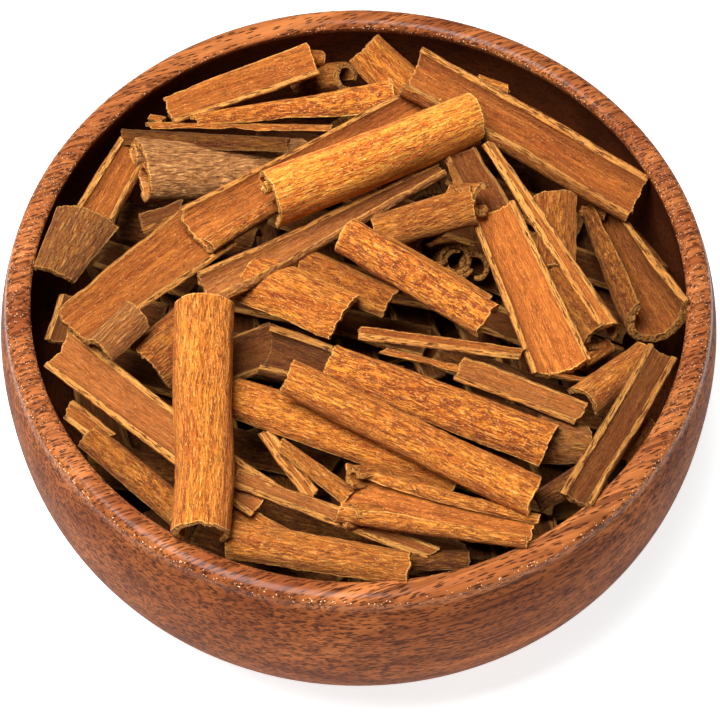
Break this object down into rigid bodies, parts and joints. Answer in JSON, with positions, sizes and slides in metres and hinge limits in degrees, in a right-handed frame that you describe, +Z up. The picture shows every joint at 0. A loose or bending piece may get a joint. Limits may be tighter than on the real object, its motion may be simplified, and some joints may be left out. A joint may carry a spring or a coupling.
{
  "type": "bowl of cut cinnamon bark",
  "caption": "Round wooden bowl with rolled-in walls, heaped with cut and curled pieces of cassia cinnamon bark.",
  "frame": {"origin": "centre of the bowl's flat foot, on the table", "axes": "+Z up along the bowl's turning axis, +X to the right and -Y towards the viewer as pictured"},
  "size_m": [0.1846, 0.1846, 0.0939],
  "materials": {
    "bowl_wood": "lacquered reddish-brown hardwood, satin to glossy",
    "cinnamon_bark": "dry matt bark, orange-brown outside, pale tan cut edges"
  },
  "bodies": {
    "root": {"bowl": "bowl_wood", "cinnamon_heap": "cinnamon_bark"}
  },
  "joints": []
}
